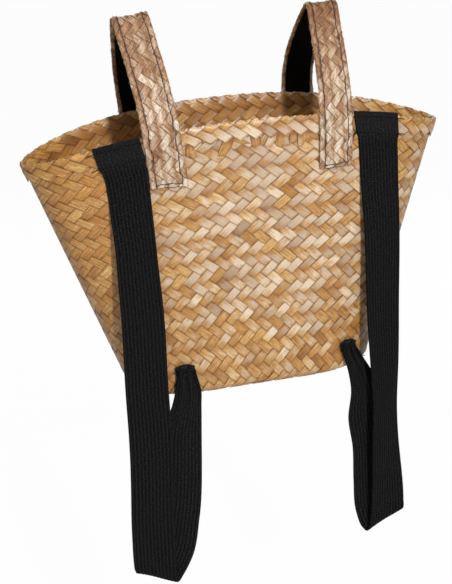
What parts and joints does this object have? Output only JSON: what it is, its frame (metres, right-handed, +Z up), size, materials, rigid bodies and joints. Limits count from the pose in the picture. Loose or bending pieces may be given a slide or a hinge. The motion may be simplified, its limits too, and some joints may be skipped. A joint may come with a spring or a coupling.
{
  "type": "pack basket",
  "caption": "Soft flat-strand woven basket with a wide flared mouth, arched plaited carry handles and black webbing shoulder straps looped down its front.",
  "frame": {"origin": "midway between the undersides of the two handle crowns, where a hand carries the basket", "axes": "+X along the mouth's length, -Y out of the front wall that carries the shoulder straps, +Z up"},
  "size_m": [0.4044, 0.135, 0.5458],
  "materials": {
    "straw_strand": "satin",
    "straw_plait": "satin",
    "cotton_webbing": "matte",
    "webbing_lining": "matte",
    "sewing_thread": "matte"
  },
  "bodies": {
    "basket": {"basket_body": "straw_strand", "left_handle_back_lining_tab": "webbing_lining", "left_handle_back_plait_tab": "straw_plait", "left_handle_back_tab_thread": "sewing_thread", "left_handle_front_lining_tab": "webbing_lining", "left_handle_front_plait_tab": "straw_plait", "left_handle_front_tab_thread": "sewing_thread", "left_strap_anchor": "cotton_webbing", "left_strap_anchor_thread": "sewing_thread", "left_strap_lower_thread": "sewing_thread", "left_strap_top": "cotton_webbing", "left_strap_upper_thread": "sewing_thread", "right_handle_back_lining_tab": "webbing_lining", "right_handle_back_plait_tab": "straw_plait", "right_handle_back_tab_thread": "sewing_thread", "right_handle_front_lining_tab": "webbing_lining", "right_handle_front_plait_tab": "straw_plait", "right_handle_front_tab_thread": "sewing_thread", "right_strap_anchor": "cotton_webbing", "right_strap_anchor_thread": "sewing_thread", "right_strap_lower_thread": "sewing_thread", "right_strap_top": "cotton_webbing", "right_strap_upper_thread": "sewing_thread", "rim_hem": "straw_strand"},
    "left_handle": {"left_handle_lining": "webbing_lining", "left_handle_plait": "straw_plait", "left_handle_thread_a": "sewing_thread", "left_handle_thread_b": "sewing_thread"},
    "right_handle": {"right_handle_lining": "webbing_lining", "right_handle_plait": "straw_plait", "right_handle_thread_a": "sewing_thread", "right_handle_thread_b": "sewing_thread"},
    "left_strap": {"left_strap_loop": "cotton_webbing"},
    "right_strap": {"right_strap_loop": "cotton_webbing"}
  },
  "joints": [
    {"name": "left_handle_lean", "type": "hinge", "parent": "basket", "child": "left_handle", "pos_m": [-0.081, 0, -0.06711], "axis": [0, 1, 0], "range_deg": [-75, 75]},
    {"name": "right_handle_lean", "type": "hinge", "parent": "basket", "child": "right_handle", "pos_m": [0.081, 0, -0.06711], "axis": [0, 1, 0], "range_deg": [-75, 75]},
    {"name": "left_strap_swing", "type": "hinge", "parent": "basket", "child": "left_strap", "pos_m": [-0.09866, -0.05294, -0.1516], "axis": [-0.2079, -0.0416, 0.9773], "range_deg": [0, 95]},
    {"name": "right_strap_swing", "type": "hinge", "parent": "basket", "child": "right_strap", "pos_m": [0.09866, -0.05294, -0.1516], "axis": [-0.1099, 0.05, -0.9927], "range_deg": [0, 95]}
  ]
}
